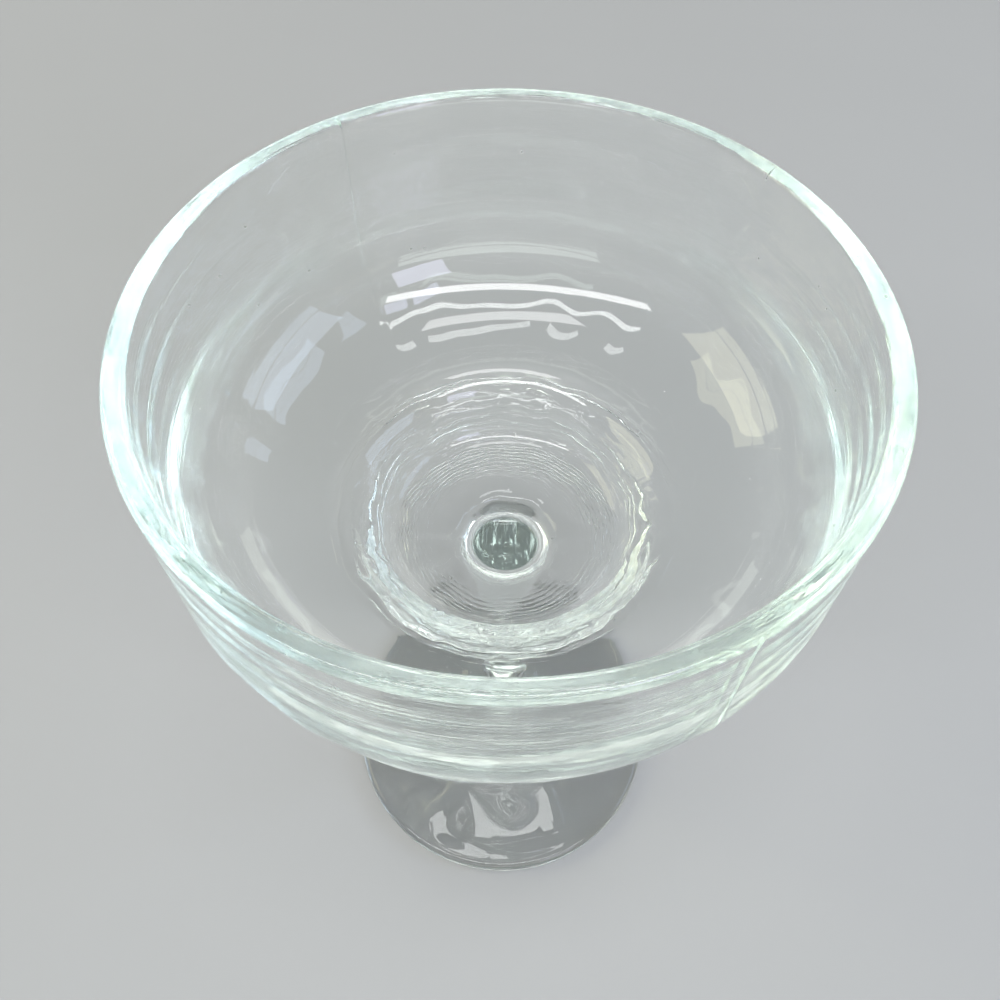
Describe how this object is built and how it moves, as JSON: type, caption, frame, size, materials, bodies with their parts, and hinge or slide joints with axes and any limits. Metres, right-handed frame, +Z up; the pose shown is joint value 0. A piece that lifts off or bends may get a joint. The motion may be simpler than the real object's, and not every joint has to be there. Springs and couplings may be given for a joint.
{
  "type": "margarita glass",
  "caption": "Stemmed margarita glass with an upright band, a round shoulder, a shallow well in the bowl, a drawn stem and a disc foot.",
  "frame": {"origin": "centre of the foot's resting plane, on the stem's axis", "axes": "+Z up along the stem's axis; the glass is round about Z, and the picture looks along +Y with +X to the right"},
  "size_m": [0.111, 0.111, 0.156],
  "materials": {
    "clear_glass": "clear soda-lime glass, fire polished, with faint mould and chill marks"
  },
  "bodies": {
    "root": {"bowl": "clear_glass", "stem": "clear_glass", "foot": "clear_glass"}
  },
  "joints": []
}
